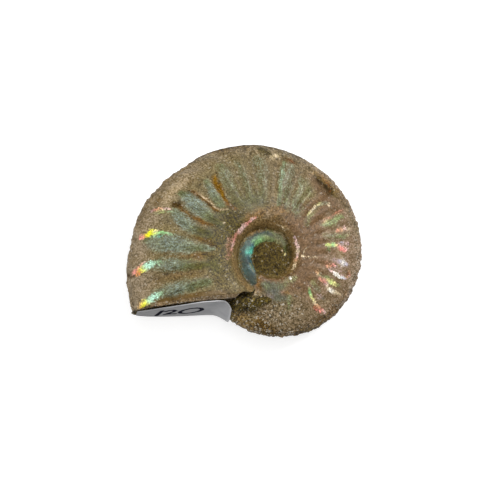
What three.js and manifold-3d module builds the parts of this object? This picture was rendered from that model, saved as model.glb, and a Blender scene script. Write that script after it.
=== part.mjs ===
import * as THREE from "three";
import { mergeVertices } from "three/addons/utils/BufferGeometryUtils.js";
import Module from "manifold-3d";

// An ammonite fossil lying on its flank, with a small paper label stuck on its broken end.
// Millimetres, +Z up. The shell is worked out coiled about its own Z axis. Then it is leant over to
// lie as it rests on a table, with its origin under the middle of its box.

const wasm = await Module();
wasm.setup();

const DEG = Math.PI / 180;

// ---- spiral: angles in degrees, counted anticlockwise in the direction of growth ----
const keelRadius = 20.13; // of the keel at angle 0
const growth = 0.12; // the keel's radius grows by e^growth a radian, 2.13 times a turn
const squash = { share: 0.013, angle: -16.5 }; // the coil is a little oval
const endAngle = 246; // where the last whorl's wall runs out
const splitAngle = 20; // the last whorl is joined from two stretches here
const hiddenAngle = -168; // before this only the umbilicus shows it
const innerAngle = -335; // where it starts, in the rock of the umbilicus

// ---- whorl section, as shares of the keel's radius ----
const shoulderShare = 0.36; // the umbilical shoulder, where the whorl is widest
const halfWidthShare = 0.25;
const footShare = 0.22; // the foot of the umbilical wall, inside the whorl before

// ---- ribs ----
const ribPitch = 11; // degrees between ribs at angle 0
const ribPitchGrowth = 0.012; // more degrees a rib for each degree of growth
const ribStartAngle = 200; // the last rib's crest
const ribHeight = 0.6; // crest to groove at the broad end
const ribFadeAngles = [-62, -40]; // there are none before these
const ribShares = [0.42, 0.6, 0.9, 1]; // they rise, run and fade across the flank
const dentDepth = 0.14; // the flank's own unevenness

// ---- rock in the umbilicus and in the corners of the broken end ----
const fills = [
  { at: [0.6, -0.6, 0], radius: 3.95, halfHeight: 2.65 },
  { at: [0, 0, 0], radius: 5.3, halfHeight: 1.9 },
];
const cornerRocks = [
  { at: [-5, -9.7, 2.4], size: [3.9, 2.2, 2.9] },
  { at: [-4.6, -8.9, -2.6], size: [2.9, 2, 2.9] },
];
const rockRoughness = 0.16;

// ---- the broken end: a plane through a point, turned and sloped ----
const breakPoint = [-18.3, -11.25, 0];
const breakTurn = 5; // degrees about Z
const breakSlope = 6; // degrees that it faces upwards
const notch = { x: -7, y: -8.2 }; // the wall is broken further back here

// ---- how it lies ----
const lean = { angle: 6.5, raisedSide: 220 }; // the side where the whorl is widest is raised
const restDepth = 0.35; // how much is worn flat where it rests

// ---- paper label, on the break's own plane: along it, up it and out of it ----
const label = {
  thickness: 0.25,
  gap: 0.14, // between paper and rock
  from: -9.3,
  to: 10.5,
  edgeHeight: 1.2, // of the top edge at its low end
  edgeRise: 0.351, // the top edge's slope
  corner: { at: [6.2, 0.4], size: [4.3, 6.1] }, // the top edge turns down to the inner end
  rimMargin: 1.1, // between its lower edge and the rim
};
// Near its inner end the paper stands out over the keel of the whorl before.
const bulge = { from: 7.3, softness: 1.2, middle: -1.5, above: 7.2, below: 6.4 };

// ---- colours ----
const shellColour = 0x8a7a5c;
const paperColour = 0xd9dade;

const steps = { flank: 8, wall: 3, whorl: 2.5, inner: 8, fill: 28, paperColumns: 20, paperRows: 6 };

const ramp = (x, a, b) => THREE.MathUtils.smoothstep(x, a, b);

function keel(deg) {
  const oval = 1 + squash.share * Math.cos(2 * (deg - squash.angle) * DEG);
  return keelRadius * Math.exp(growth * deg * DEG) * oval;
}

// The section's half width at a share of the keel's radius: a quarter ellipse out to the keel and
// another one in to the foot of the wall.
function halfWidth(share) {
  const reach = share > shoulderShare ? 1 - shoulderShare : shoulderShare - footShare;
  const t = Math.min(1, Math.abs(share - shoulderShare) / reach);
  return halfWidthShare * Math.sqrt(1 - t * t);
}

// Ribs counted back from the broken end: whole numbers are crests.
function ribNumber(deg) {
  const atStart = ribPitch + ribPitchGrowth * ribStartAngle;
  return Math.log(atStart / (ribPitch + ribPitchGrowth * deg)) / ribPitchGrowth;
}

// How far the ribs and the shell's own unevenness lift the flank.
function relief(deg, share, side) {
  const size = keel(deg) / keel(ribStartAngle);
  const wave = (1 + Math.cos(2 * Math.PI * ribNumber(deg))) / 2;
  const across = ramp(share, ribShares[0], ribShares[1]) * (1 - ramp(share, ribShares[2], ribShares[3]));
  const rib = ribHeight * (wave ** 0.7 - 0.5) * across * ramp(deg, ...ribFadeAngles);
  const dents = Math.sin(deg * 0.061 + 7 * share + side) * Math.sin(deg * 0.023 - 9 * share);
  return size * (rib + dentDepth * dents * (1 - ramp(share, ribShares[2], ribShares[3])));
}

// The whorl's outline at an angle: from the keel over the upper flank and down the umbilical wall
// to its foot, and back underneath. Each point is [radius, height].
function outline(deg) {
  const shares = [];
  for (let i = 0; i <= steps.flank; i++) {
    shares.push(shoulderShare + (1 - shoulderShare) * Math.cos((90 * DEG * i) / steps.flank));
  }
  for (let i = 1; i <= steps.wall; i++) {
    shares.push(shoulderShare - (shoulderShare - footShare) * Math.sin((90 * DEG * i) / steps.wall));
  }
  const size = keel(deg);
  const point = (share, side) => [
    share * size,
    side * (halfWidth(share) * size + relief(deg, share, side) * ramp(halfWidth(share), 0, 0.08)),
  ];
  const upper = shares.map((share) => point(share, 1));
  const lower = shares.slice(1, -1).map((share) => point(share, -1));
  return [...upper, ...lower.reverse()];
}

// A closed solid through rings of as many points each, with a fan over each end.
function loft(rings) {
  const count = rings[0].length;
  const points = rings.flat();
  const index = [];
  for (let r = 0; r + 1 < rings.length; r++) {
    for (let i = 0; i < count; i++) {
      const a = r * count + i;
      const b = r * count + ((i + 1) % count);
      index.push(a, a + count, b + count, a, b + count, b);
    }
  }
  [0, rings.length - 1].forEach((r) => {
    const middle = rings[r].reduce((sum, p) => sum.add(p), new THREE.Vector3()).divideScalar(count);
    points.push(middle);
    for (let i = 0; i < count; i++) {
      const edge = [r * count + i, r * count + ((i + 1) % count)];
      index.push(...(r ? edge.reverse() : edge), points.length - 1);
    }
  });
  return new THREE.BufferGeometry().setFromPoints(points).setIndex(index);
}

function anglesBetween(from, to, step) {
  const count = Math.round((to - from) / step);
  return Array.from({ length: count + 1 }, (_, i) => THREE.MathUtils.lerp(from, to, i / count));
}

function whorl(angles) {
  const rings = angles.map((deg) => {
    const [c, s] = [Math.cos(deg * DEG), Math.sin(deg * DEG)];
    return outline(deg).map(([r, z]) => new THREE.Vector3(r * c, r * s, z));
  });
  return loft(rings);
}

function toSolid(geometry) {
  const bare = new THREE.BufferGeometry();
  bare.setAttribute("position", geometry.getAttribute("position").clone());
  bare.setIndex(geometry.index);
  const merged = mergeVertices(bare, 1e-5);
  const vertProperties = new Float32Array(merged.attributes.position.array);
  const triVerts = new Uint32Array(merged.index.array);
  return new wasm.Manifold(new wasm.Mesh({ numProp: 3, vertProperties, triVerts }));
}

function toGeometry(solid) {
  const mesh = solid.getMesh();
  const geometry = new THREE.BufferGeometry();
  geometry.setAttribute("position", new THREE.BufferAttribute(mesh.vertProperties, 3));
  geometry.setIndex(new THREE.BufferAttribute(mesh.triVerts, 1));
  return geometry;
}

// From the break's own frame (X along it, Y up it, Z out of it) to the shell's.
function breakFrame() {
  const along = new THREE.Vector3(1, 0, 0);
  const outward = new THREE.Vector3(0, -Math.cos(breakSlope * DEG), Math.sin(breakSlope * DEG));
  const up = new THREE.Vector3().crossVectors(outward, along);
  return new THREE.Matrix4()
    .makeTranslation(...breakPoint)
    .multiply(new THREE.Matrix4().makeRotationZ(breakTurn * DEG))
    .multiply(new THREE.Matrix4().makeBasis(along, up, outward));
}

// Takes away all of the whorl that lies outside the break.
function breakCutter() {
  const size = 80;
  return new THREE.BoxGeometry(size, size, size).translate(0, 0, size / 2).applyMatrix4(breakFrame());
}

function notchCutter() {
  const size = 20;
  return new THREE.BoxGeometry(size, size, 2 * size)
    .translate(notch.x + size / 2, notch.y - size / 2, 0);
}

function umbilicusFill({ at, radius, halfHeight }) {
  return new THREE.CylinderGeometry(radius, radius, 2 * halfHeight, steps.fill)
    .rotateX(90 * DEG)
    .translate(...at);
}

function cornerRock({ at, size }) {
  const lump = new THREE.IcosahedronGeometry(1, 3);
  const position = lump.getAttribute("position");
  const p = new THREE.Vector3();
  for (let i = 0; i < position.count; i++) {
    p.fromBufferAttribute(position, i);
    const bump = Math.sin(7 * p.x + 3 * p.z) * Math.sin(6 * p.y - 4 * p.z) + Math.sin(9 * p.z - 5 * p.x);
    p.multiplyScalar(1 + (rockRoughness * bump) / 2);
    position.setXYZ(i, p.x, p.y, p.z);
  }
  return lump.scale(...size).translate(...at);
}

// Height of the last whorl's rim above the middle of the break, at a place along it.
function rimHeight(along) {
  const at = new THREE.Vector3(along, 0, 0).applyMatrix4(breakFrame());
  const deg = Math.atan2(at.y, at.x) / DEG + 360;
  return halfWidth(Math.hypot(at.x, at.y) / keel(deg)) * keel(deg);
}

function paperEdges(along) {
  const { from, edgeHeight, edgeRise, corner, rimMargin } = label;
  const t = THREE.MathUtils.clamp((along - corner.at[0]) / corner.size[0], 0, 1);
  const turned = corner.at[1] + corner.size[1] * Math.sqrt(1 - t * t);
  return {
    top: Math.min(edgeHeight + edgeRise * (along - from), turned),
    bottom: rimMargin - rimHeight(along),
  };
}

// How far the paper stands out of the break's plane.
function paperBulge(along, up) {
  const past = along - bulge.from;
  const out = (past + Math.hypot(past, bulge.softness)) / 2;
  const away = (up - bulge.middle) / (up > bulge.middle ? bulge.above : bulge.below);
  return out * Math.max(0, 1 - away * away);
}

// A sheet of even thickness: rings of its section, one for each place along it.
function paperLabel() {
  const rings = [];
  for (let i = 0; i <= steps.paperColumns; i++) {
    const along = THREE.MathUtils.lerp(label.from, label.to, i / steps.paperColumns);
    const { top, bottom } = paperEdges(along);
    const face = (offset) => {
      const points = [];
      for (let j = 0; j <= steps.paperRows; j++) {
        const up = THREE.MathUtils.lerp(bottom, top, j / steps.paperRows);
        points.push(new THREE.Vector3(along, up, label.gap + offset + paperBulge(along, up)));
      }
      return points;
    };
    rings.push([...face(label.thickness), ...face(0).reverse()]);
  }
  return loft(rings).applyMatrix4(breakFrame());
}

// Leans the shell over about a level line, so that one side is raised.
function leaning() {
  const axis = new THREE.Vector3(Math.sin(lean.raisedSide * DEG), -Math.cos(lean.raisedSide * DEG), 0);
  return new THREE.Matrix4().makeRotationAxis(axis, lean.angle * DEG);
}

function ammonite() {
  const innerAngles = anglesBetween(innerAngle, hiddenAngle, steps.inner);
  const earlierAngles = anglesBetween(hiddenAngle, splitAngle, steps.whorl);
  const end = toSolid(whorl(anglesBetween(splitAngle, endAngle, steps.whorl)))
    .subtract(toSolid(breakCutter()))
    .subtract(toSolid(notchCutter()));
  const others = [
    whorl([...innerAngles, ...earlierAngles.slice(1)]),
    ...fills.map(umbilicusFill),
    ...cornerRocks.map(cornerRock),
  ];
  return toGeometry(others.reduce((sum, piece) => sum.add(toSolid(piece)), end));
}

function wornFlat(geometry, floor) {
  const size = 100;
  const table = new THREE.BoxGeometry(size, size, size).translate(0, 0, floor - size / 2);
  return toGeometry(toSolid(geometry).subtract(toSolid(table)));
}

const lying = ammonite().applyMatrix4(leaning());
lying.computeBoundingBox();
const floor = lying.boundingBox.min.z + restDepth;
const shell = wornFlat(lying, floor);
const paper = paperLabel().applyMatrix4(leaning());

// The origin is under the middle of the box of both pieces.
const group = new THREE.Group();
[
  ["ammonite", shell, shellColour, 0.5],
  ["paper_label", paper, paperColour, 0.6],
].forEach(([name, geometry, color, roughness]) => {
  const mesh = new THREE.Mesh(geometry, new THREE.MeshStandardMaterial({ color, roughness, metalness: 0 }));
  mesh.name = name;
  group.add(mesh);
});
const box = new THREE.Box3().setFromObject(group);
const middle = box.getCenter(new THREE.Vector3());
group.position.set(-middle.x, -middle.y, -box.min.z);

export default group;
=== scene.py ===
import math
from itertools import product

import bpy
import numpy as np
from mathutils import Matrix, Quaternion, Vector


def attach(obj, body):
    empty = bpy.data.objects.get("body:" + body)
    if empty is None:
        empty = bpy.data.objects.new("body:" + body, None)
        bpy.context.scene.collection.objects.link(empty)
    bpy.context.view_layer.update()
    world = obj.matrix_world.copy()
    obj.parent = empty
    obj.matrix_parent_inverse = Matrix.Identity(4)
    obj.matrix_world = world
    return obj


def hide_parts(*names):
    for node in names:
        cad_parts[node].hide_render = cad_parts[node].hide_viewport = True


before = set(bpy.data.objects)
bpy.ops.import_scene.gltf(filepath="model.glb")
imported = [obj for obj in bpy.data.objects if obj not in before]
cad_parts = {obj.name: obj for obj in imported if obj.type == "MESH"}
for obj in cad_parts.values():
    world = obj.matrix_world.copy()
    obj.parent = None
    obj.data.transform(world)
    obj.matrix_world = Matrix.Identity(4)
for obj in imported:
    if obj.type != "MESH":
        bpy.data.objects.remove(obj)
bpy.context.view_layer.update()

# Shapes are worked out in millimetres about the coil's own axis, then leant over and put where the
# solid lies. Whorl angles are in degrees and grow towards the broken end.
mm = 0.001

coil = {
    "keelRadius": 20.13,  # of the keel at angle 0
    "growth": 0.12,  # its growth a radian
    "oval": 0.013,  # how far it departs from an even spiral
    "ovalAngle": -16.5,
    "shoulder": 0.36,  # shares of the keel's radius: where the whorl is widest
    "foot": 0.22,  # and where the umbilical wall ends
    "halfWidth": 0.25,
    "tipAngle": 202.6,  # where the broken end meets the keel
    "wallEnd": 245.5,  # where the umbilical wall runs out
    "innerEnd": (-350, -325),  # the whorl before sinks into the rock here
    "innerDrop": 1.4,
    "rimAngles": (13, 32, 86),  # round the section, where the flank's rows end: hidden, old and new whorl
}
lie = {"lean": 6.5, "raisedSide": 220, "axisAt": (4.666, -3.803, 6.556)}


def ramp(x, start, end):
    # smooth step from 0 at start to 1 at end
    t = np.clip((x - start) / (end - start), 0, 1)
    return t * t * (3 - 2 * t)


def between(x, rise, run, fall, gone):
    # one smooth step up and one down again
    return ramp(x, rise, run) * (1 - ramp(x, fall, gone))


def mix(a, b, t):
    # straight from a at 0 to b at 1
    return a + (b - a) * t


def smoothMax(a, b, width):
    # the larger of two heights, with the crease between them filled by a hyperbola
    return 0.5 * (a + b + np.sqrt((a - b) ** 2 + width * width))


def keel(angle):
    # logarithmic spiral, a little oval
    oval = 1 + coil["oval"] * np.cos(2 * np.radians(angle - coil["ovalAngle"]))
    return coil["keelRadius"] * np.exp(coil["growth"] * np.radians(angle)) * oval


def section(share):
    # half width at a share of the keel's radius: a quarter ellipse out to the keel, another in to the foot
    reach = np.where(share > coil["shoulder"], 1 - coil["shoulder"], coil["shoulder"] - coil["foot"])
    t = np.clip(np.abs(share - coil["shoulder"]) / reach, 0, 1)
    return coil["halfWidth"] * np.sqrt(1 - t * t)


def outShare(turn):
    # share of the keel's radius round the outer ellipse, at an angle that is a quarter turn on the keel
    return coil["shoulder"] + (1 - coil["shoulder"]) * np.sin(turn)


lattice = {"values": 4096, "primes": (73856093, 19349663, 83492791)}


def grain(points, size, seed):
    # value noise from -1 to 1: random numbers on a cubic lattice of that size, picked for each corner by a
    # hash of its place, and eased between the corners
    table = np.random.default_rng(seed).uniform(-1, 1, lattice["values"])
    cell = np.asarray(points) / size
    base = np.floor(cell).astype(np.int64)
    ease = cell - base
    ease = ease * ease * (3 - 2 * ease)
    total = np.zeros(cell.shape[:-1])
    for corner in product((0, 1), repeat=3):
        key = np.bitwise_xor.reduce((base + np.array(corner)) * np.array(lattice["primes"]), -1)
        weight = np.where(np.array(corner) == 1, ease, 1 - ease).prod(-1)
        total += weight * table[key % lattice["values"]]
    return total


ribs = {
    "crests": [200, 187, 173.5, 159.7, 147.3, 134, 121.3, 109, 95.5, 80.5, 65, 53, 41.5, 28.5, 18, 7.5,
               -4.5, -15, -26.5, -42],
    "beyond": (12, 13),  # degrees between ribs before the oldest of these and past the newest
    "height": 0.75,  # mm from crest to groove, where the keel's radius is fullSize
    "fullSize": 30.7,
    "shares": (0.4, 0.6, 0.9, 1.0),  # of the keel's radius, where ribs rise, run, fall and are gone
    "fade": (-66, -42),
    "sharpness": 0.8,
    "oldShell": (60, 130),  # its ribs turn into the new shell's between these whorl angles
    "bendBack": 4.5,  # degrees that old ribs bend back towards the keel
    "bendOn": (3, 2.5),  # degrees that new ones bend on near the keel, and back across the flank
    "dents": 0.14,  # mm
}


def ribPhase(angle, share):
    # whole numbers on the crests, with even steps between them, read off where a straight rib would stand
    old = 1 - ramp(angle, *ribs["oldShell"])
    back = -ribs["bendBack"] * ramp(share, 0.5, 0.95)
    on, across = ribs["bendOn"]
    on = on * ramp(share, 0.82, 0.99) - across * (ramp(share, 0.4, 0.8) - 0.5)
    straight = angle - mix(on, back, old)
    crests = np.array(ribs["crests"], float)[::-1]
    inside = np.interp(straight, crests, np.arange(len(crests))[::-1])
    before = np.clip(crests[0] - straight, 0, None) / ribs["beyond"][0]
    return inside + before - np.clip(straight - crests[-1], 0, None) / ribs["beyond"][1]


def ribWave(angle, share):
    # a cosine that is 1 on the crests and 0 in the grooves
    return (1 + np.cos(2 * np.pi * ribPhase(angle, share))) / 2


def flankHeight(angle, radius, side):
    # the whorl's half width there, with ribs that rise, run and fade across the flank, and shallow dents
    size = keel(angle)
    share = radius / size
    width = section(share)
    wave = ribWave(angle, share) ** ribs["sharpness"] - 0.5
    rib = ribs["height"] * wave * between(share, *ribs["shares"]) * ramp(angle, *ribs["fade"])
    rib = rib * (0.7 + 0.3 * ramp(angle, 20, 90))
    dents = np.sin(angle * 0.061 + 7 * share + side) * np.sin(angle * 0.023 - 9 * share)
    relief = size / ribs["fullSize"] * (rib + ribs["dents"] * dents * (1 - ramp(share, *ribs["shares"][2:])))
    return np.where((share > coil["foot"]) & (share < 1), width * size + relief * ramp(width, 0, 0.08), 0)


rocks = {
    # two flat discs fill the umbilicus
    "plug": {"at": (0.3, -0.9), "radius": 3.75, "height": 2.75},
    "bed": {"at": (0.0, 0.0), "radius": 5.3, "height": 1.9},
    "grain": (0.16, 0.8),  # height and size of the plug's roughness
    # half ellipsoids in the corner of the broken end, above and below: middle and half sizes
    "corner": [((-5, -9.7, 2.4), (3.9, 2.2, 2.9)), ((-2.4, -9.4, 3.2), (2.6, 1.0, 1.3))],
    "cornerBelow": [((-4.6, -8.9, 2.6), (2.9, 2.0, 2.9))],
    "none": -9.0,  # the height that stands for no rock
}


def plugHeight(x, y, height, radius, at):
    # a flat disc that is rounded off from 0.86 of its radius and falls away past it
    out = np.hypot(x - at[0], y - at[1]) / radius
    return height - 3 * np.clip(out - 0.86, 0, None) ** 2 * radius - 9 * np.clip(out - 1, 0, None)


def lumpHeight(x, y, lumps):
    # the highest of several half ellipsoids, and far below where there is none
    top = np.full(np.shape(x), rocks["none"])
    for (atX, atY, atZ), (a, b, c) in lumps:
        left = 1 - ((x - atX) / a) ** 2 - ((y - atY) / b) ** 2
        top = np.maximum(top, np.where(left > 0, atZ + c * np.sqrt(np.clip(left, 0, None)), rocks["none"]))
    return top


broken = {
    "at": (-18.3, -10.95, 0),
    "turn": 5,  # degrees about the coil's axis
    "slope": 6,  # degrees that it faces upwards
    "bevelBack": 0.75,
    "bevelDrop": (1.1, 0.12),  # where it is bevelled, and the least there is everywhere
    "bevelFrom": (-8.6, -6.6),  # along the break, where the bevel begins
    "notchLine": -8.15,
    "notchAngles": (228.6, 231.2),
    "closing": (239.5, 245.5),
    "footShare": 0.2355,
    "rounds": 12,  # of going back and forth between two curves to find where they meet
}


def breakAxes():
    # along the break, up its face and out of it
    turn, slope = math.radians(broken["turn"]), math.radians(broken["slope"])
    along = np.array([math.cos(turn), math.sin(turn), 0])
    outward = np.array([math.sin(turn) * math.cos(slope), -math.cos(turn) * math.cos(slope), math.sin(slope)])
    return np.stack([along, np.cross(outward, along), outward])


breakFrame = breakAxes()


def toBreak(points):
    # the same points as distances along the break, up its face and out of it
    return np.moveaxis((points - np.array(broken["at"])) @ breakFrame.T, -1, 0)


def planeRadius(theta, z, back):
    # how far out a ray at this angle and height meets the break's plane, moved back by some depth
    normal = breakFrame[2]
    across = normal[0] * np.cos(theta) + normal[1] * np.sin(theta)
    return (normal @ np.array(broken["at"]) - back - normal[2] * z) / across


def brokenEdge(angle, z, back):
    # the plane's radius, pulled in to the notch line, and to the foot of the wall where the wall runs out
    theta = np.radians(angle)
    notched = broken["notchLine"] / np.sin(theta)
    edge = mix(planeRadius(theta, z, back), notched, ramp(angle, *broken["notchAngles"]))
    return mix(edge, broken["footShare"] * keel(angle), ramp(angle, *broken["closing"]))


grid = {
    "mainColumns": 376,
    "breakColumns": (78, 16, 24),  # along the face, round the notch, and to the wall's end
    "faceEnd": -9.15,  # x in mm
    "faceNudge": 0.3,  # mm that the face's columns are moved outwards
    "notch": (0.25, 232),  # degrees past the face, and where the notch ends
    "rowsTop": (38, 48, 4, 13, 14),  # to the fixed ring, to the rim, bevel, broken face, round the keel
    "rowsBelow": (16, 28, 3, 9, 12),
    "ring": 6.4,
}


def columnAngles():
    # angles of the grid's columns: once round the last whorl, then across the broken end by even steps along it
    main = np.linspace(coil["wallEnd"] - 360, coil["tipAngle"], grid["mainColumns"], endpoint=False)
    wide, fine, rest = grid["breakColumns"]
    past, notchEnd = grid["notch"]
    tip = math.radians(coil["tipAngle"])
    start = float(planeRadius(tip, 0, 0)) * math.cos(tip)
    x = np.linspace(start, grid["faceEnd"], wide, endpoint=False)
    y = broken["at"][1] + math.tan(math.radians(broken["turn"])) * (x - broken["at"][0]) + grid["faceNudge"]
    face = np.degrees(np.arctan2(y, x)) + 360
    face[0] = coil["tipAngle"]
    face = np.maximum.accumulate(face)
    notch = np.linspace(face[-1] + past, notchEnd, fine, endpoint=False)
    return main, np.concatenate([face, notch, np.linspace(notchEnd, coil["wallEnd"], rest, endpoint=False)])


def spread(start, end, count, power=1.0):
    # rows from start (left out) to end, for every column at once
    t = (np.arange(1, count + 1) / count) ** power
    return mix(np.asarray(start)[:, None], np.asarray(end)[:, None], t)


def coilTop(angle, radius, side, isMain):
    # the highest of the whorls and the rock at each place inside the rim, and which whorl that is
    theta = np.radians(angle)
    x, y = radius * np.cos(theta), radius * np.sin(theta)
    outer = flankHeight(angle, radius, side)
    closing = 1 - ramp(angle, coil["wallEnd"] - 3, coil["wallEnd"])
    outer = np.where(isMain, outer, outer * mix(0.5, 1, closing))
    before = flankHeight(angle - 360, radius, side)
    before = before - coil["innerDrop"] * (1 - ramp(angle - 360, *coil["innerEnd"]))
    rough, size = rocks["grain"]
    plug = plugHeight(x, y, **rocks["plug"]) + rough * grain(np.stack([x, y, 0 * x + side], -1), size, 3)
    rock = np.maximum(plug, plugHeight(x, y, **rocks["bed"]))
    whorl = np.where(before > outer, angle - 360, angle)
    isRock = ramp(rock - np.maximum(outer, before), -0.12, 0.05)
    return smoothMax(smoothMax(outer, before, 0.35), rock, 0.25), whorl, isRock


def brokenRim(angle, side):
    # radius where the flank meets the break's plane, and how much the edge is bevelled there: from a first
    # guess at the height, each round takes the edge there, and then the flank's height at that edge
    height = np.full_like(angle, 5.0)
    edge = brokenEdge(angle, side * height, 0)
    for _ in range(broken["rounds"]):
        along = edge * np.cos(np.radians(angle)) - broken["at"][0]
        bevelled = ramp(along, *broken["bevelFrom"]) * (1 - ramp(angle, *broken["notchAngles"]))
        edge = brokenEdge(angle, side * height, broken["bevelBack"] * bevelled)
        edge = np.minimum(edge, 0.9985 * keel(angle))
        height = mix(height, flankHeight(angle, edge, side), 0.6)
    return edge, bevelled


def brokenRows(angle, side, counts, rimRadius, rimHeight, bevelled, lumps):
    # bevel, broken face down to the whorl before or the rock, and round the keel of that whorl, by an ellipse
    bevel, face, last = counts
    theta = np.radians(angle)
    drop = broken["bevelDrop"][0] * bevelled + broken["bevelDrop"][1]
    lipHeight = np.maximum(rimHeight - drop, 0.6 * rimHeight)
    lip = np.maximum(brokenEdge(angle, side * lipHeight, 0), rimRadius)
    lip = np.where(ramp(angle, *broken["notchAngles"]) > 0.5, rimRadius + 0.06, lip)

    floorZ = np.ones_like(angle)
    for _ in range(broken["rounds"]):
        at = brokenEdge(angle, side * floorZ, 0)
        under = flankHeight(angle - 360, at, side)
        under = np.maximum(under, lumpHeight(at * np.cos(theta), at * np.sin(theta), lumps))
        floorZ = mix(floorZ, np.maximum(under, 0), 0.5)
    floorZ = np.minimum(np.sqrt(floorZ ** 2 + 0.64), 0.93 * lipHeight)
    faceZ = spread(lipHeight, floorZ, face)
    faceRadius = np.maximum(brokenEdge(angle[:, None], side * faceZ, 0), lip[:, None])

    before = keel(angle - 360)
    half = coil["halfWidth"] * before
    start = np.arccos(np.clip(floorZ / half, 0, 1))
    turn = spread(start, np.full_like(angle, np.pi / 2), last)
    keelZ = half[:, None] * np.cos(turn) * (floorZ / np.maximum(half * np.cos(start), 1e-6))[:, None]
    keelOut = before[:, None] * outShare(turn)
    keelRadius = smoothMax(brokenEdge(angle[:, None], side * keelZ, 0), keelOut, 0.25)
    radius = np.concatenate([spread(rimRadius, lip, bevel), faceRadius, keelRadius], 1)
    return radius, np.concatenate([spread(rimHeight, lipHeight, bevel), faceZ, keelZ], 1), keelOut


def wholeRows(angle, side, counts, rim):
    # the same rows where nothing is broken: from the rim round the section's ellipse to the keel
    size = keel(angle)[:, None]
    reach = (90 - rim) * ramp(angle, -114.5, -80) / sum(counts)
    stops = [rim, rim + reach * counts[0], rim + reach * (counts[0] + counts[1]), 0 * rim + 90]
    turns = np.concatenate([spread(a, b, count) for a, b, count in zip(stops, stops[1:], counts)], 1)
    radius = size * outShare(np.radians(turns))
    height = flankHeight(angle[:, None], np.minimum(radius, 0.99999 * size), side)
    return radius, np.where(turns > 89.9, 0, height)


def profile(angle, isMain, side, rows):
    # one column each: from the axis over the flank to its rim, down the broken face and round to height 0
    toRing, toRim, *counts = rows
    main, cut = isMain[:, None], ~isMain
    hidden, old, new = coil["rimAngles"]
    rim = mix(mix(hidden, old, ramp(angle, -114, -60)), new, ramp(angle, 165, coil["tipAngle"]))
    edge, bevelled = brokenRim(angle, side)
    rimRadius = np.where(isMain, keel(angle) * outShare(np.radians(rim)), edge)
    ring = np.full_like(angle, grid["ring"])
    radius = np.concatenate([spread(0 * angle, ring, toRing), spread(ring, rimRadius, toRim, 1.25)], 1)
    z, whorl, rock = coilTop(angle[:, None], radius, side, main)

    lumps = rocks["corner"] if side > 0 else rocks["cornerBelow"]
    cutRadius, cutZ, keelOut = brokenRows(angle, side, counts, rimRadius, z[:, -1], bevelled, lumps)
    wholeRadius, wholeZ = wholeRows(angle, side, counts, rim)
    radius = np.concatenate([radius, np.where(main, wholeRadius, cutRadius)], 1)
    z = np.concatenate([z, np.where(main, wholeZ, cutZ)], 1)
    outerWhorl = np.broadcast_to(np.where(isMain, angle, angle - 360)[:, None], cutZ.shape)
    whorl = np.concatenate([whorl, outerWhorl], 1)
    rock = np.concatenate([rock, 0 * cutZ], 1)

    # rock in the corner lies on the whorl before, outside the rim
    first = toRing + toRim
    face, last = first + counts[0], first + counts[0] + counts[1]
    theta = np.radians(angle)[:, None]
    lump = lumpHeight(radius * np.cos(theta), radius * np.sin(theta), lumps)
    lump[cut, :last - 1] = rocks["none"]
    rock = np.maximum(rock, ramp(lump - z, -0.5, 0.1))
    z = np.where(lump > rocks["none"] + 1, smoothMax(z, lump, 0.3), z)

    # how much of each point is broken face, and how much bevel
    bevelPart, facePart = np.zeros_like(z), np.zeros_like(z)
    bevelPart[cut, first:face] = bevelled[cut, None]
    facePart[cut, face:last] = 1
    facePart[cut, last:] = ramp(radius[cut, last:] - keelOut[cut], 0.14, 0.5)
    facePart = facePart * (1 - ramp(angle, 235, 240))[:, None]
    return radius, side * z, whorl, rock, facePart, bevelPart


def fossilGrid():
    # every column's profile on top, mirrored and varied underneath, joined along the middle
    main, across = columnAngles()
    angle = np.concatenate([main, across])
    isMain = np.arange(len(angle)) < len(main)
    top = profile(angle, isMain, 1, grid["rowsTop"])
    below = profile(angle, isMain, -1, grid["rowsBelow"])
    return angle, [np.concatenate([t, b[:, -2::-1]], 1) for t, b in zip(top, below)]


angle, (radius, height, whorl, rock, facePart, bevelPart) = fossilGrid()
theta = np.radians(angle)[:, None]
shell = np.stack([radius * np.cos(theta), radius * np.sin(theta), height], -1)
share = radius / keel(whorl)
onTop = height >= 0
print("grid", shell.shape)


def gridNormals(points):
    # cross product of the steps along both ways of the grid
    around = np.roll(points, -1, 0) - np.roll(points, 1, 0)
    normal = np.cross(np.gradient(points, axis=1), around)
    return normal / np.maximum(np.linalg.norm(normal, axis=-1, keepdims=True), 1e-9)


def toWorld(points):
    # from the coil's own frame in millimetres to the solid's in metres: turned about a level line, which raises
    # one side, and never below the table
    side = math.radians(lie["raisedSide"])
    lean = Quaternion((math.sin(side), -math.cos(side), 0), math.radians(lie["lean"])).to_matrix()
    world = points @ np.array(lean).T + np.array(lie["axisAt"])
    world[..., 2] = np.maximum(world[..., 2], 0)
    return world * mm


def meshObject(name, points, faces):
    mesh = bpy.data.meshes.new(name)
    mesh.from_pydata(points.reshape(-1, 3), [], faces)
    mesh.update()
    mesh.polygons.foreach_set("use_smooth", np.ones(len(mesh.polygons), bool))
    piece = bpy.data.objects.new(name, mesh)
    bpy.context.scene.collection.objects.link(piece)
    return piece


def gridQuads(columns, rows, closed):
    # the cells of a grid of points that is closed round along one of its two ways
    c = np.arange(columns - (closed != "columns"))[:, None]
    r = np.arange(rows - (closed != "rows"))[None, :]
    c, nextC, nextR = c * rows, (c + 1) % columns * rows, (r + 1) % rows
    return np.stack([c + r, c + nextR, nextC + nextR, nextC + r], -1).reshape(-1, 4)


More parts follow.
